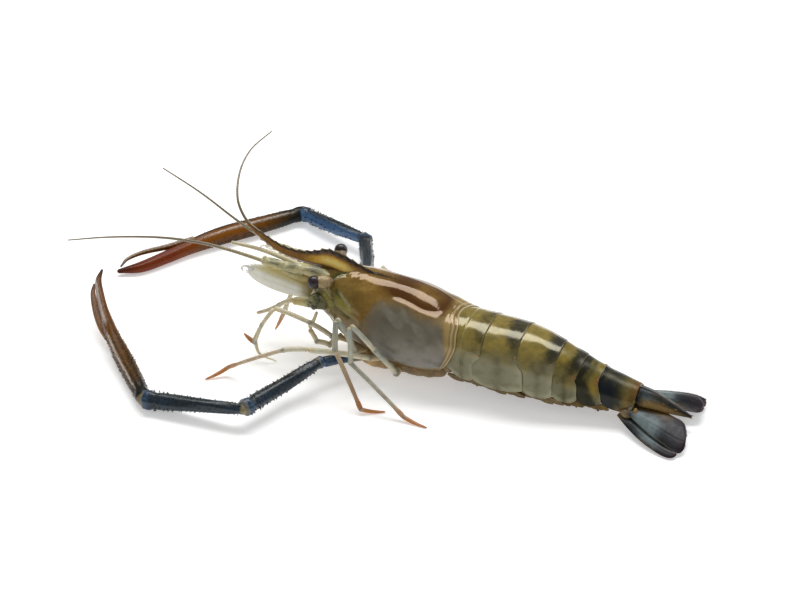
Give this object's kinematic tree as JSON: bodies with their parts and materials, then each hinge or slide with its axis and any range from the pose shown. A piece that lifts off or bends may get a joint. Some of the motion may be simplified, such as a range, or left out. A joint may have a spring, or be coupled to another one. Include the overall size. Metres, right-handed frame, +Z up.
{
  "type": "giant freshwater prawn",
  "caption": "Raw whole giant freshwater prawn lying on its belly, with a toothed upturned rostrum, long blue claws spread in front, banded tail, tail fan and curved feelers.",
  "frame": {"origin": "middle of the outline's box, on the surface that the prawn lies on", "axes": "+X towards the tail, +Y to the prawn's right side, +Z up"},
  "size_m": [0.31, 0.1812, 0.0753],
  "materials": {
    "carapace_shell": "wet glossy olive-brown shell, smooth slate grey low on the sides",
    "tail_shell": "wet glossy olive shell with dark bands, translucent grey-green low on the sides",
    "tail_fan": "wet glossy blue-black shell with tan patches and rust rims",
    "chest": "moist brown underside",
    "eye": "wet near-black",
    "eye_stalk": "moist pinkish tan",
    "antenna_stem": "pale yellow mottled with blue green",
    "antenna_scale": "thin pale cream, translucent",
    "feeler": "thin grey brown",
    "claw_arm": "navy blue to black, spiny, pale at the joints",
    "claw_hand": "rust to dark brown, spiny",
    "leg": "pale blue grey to cream, orange-brown at the tips"
  },
  "bodies": {
    "root": {"carapace": "carapace_shell", "thorax": "chest", "abdomen_1": "tail_shell", "abdomen_2": "tail_shell", "abdomen_3": "tail_shell", "abdomen_4": "tail_shell", "abdomen_5": "tail_shell", "abdomen_6": "tail_fan", "telson": "tail_fan", "uropod_inner_left": "tail_fan", "uropod_outer_left": "tail_fan", "uropod_inner_right": "tail_fan", "uropod_outer_right": "tail_fan", "eye_left": "eye", "eye_stalk_left": "eye_stalk", "antenna_stem_left": "antenna_stem", "antennule_stem_left": "antenna_stem", "antenna_scale_left": "antenna_scale", "eye_right": "eye", "eye_stalk_right": "eye_stalk", "antenna_stem_right": "antenna_stem", "antennule_stem_right": "antenna_stem", "antenna_scale_right": "antenna_scale", "feeler_left_long": "feeler", "feeler_left_short": "feeler", "feeler_right_rising": "feeler", "feeler_right_curled": "feeler", "claw_ischium_left": "claw_arm", "claw_merus_left": "claw_arm", "claw_carpus_left": "claw_arm", "claw_hand_left": "claw_hand", "claw_finger_left": "claw_hand", "claw_ischium_right": "claw_arm", "claw_merus_right": "claw_arm", "claw_carpus_right": "claw_arm", "claw_hand_right": "claw_hand", "claw_finger_right": "claw_hand", "leg_rear_left_upper": "leg", "leg_rear_left_lower": "leg", "leg_middle_left_upper": "leg", "leg_middle_left_lower": "leg", "leg_front_left_upper": "leg", "leg_front_left_lower": "leg", "leg_rear_right_upper": "leg", "leg_rear_right_lower": "leg", "leg_middle_right_upper": "leg", "leg_middle_right_lower": "leg", "leg_front_right_upper": "leg", "leg_front_right_lower": "leg", "nipper_left_upper": "leg", "nipper_left_lower": "leg", "nipper_right_upper": "leg", "nipper_right_lower": "leg", "mouth_leg_left_upper": "leg", "mouth_leg_left_lower": "leg", "mouth_leg_right_upper": "leg", "mouth_leg_right_lower": "leg"}
  },
  "joints": []
}
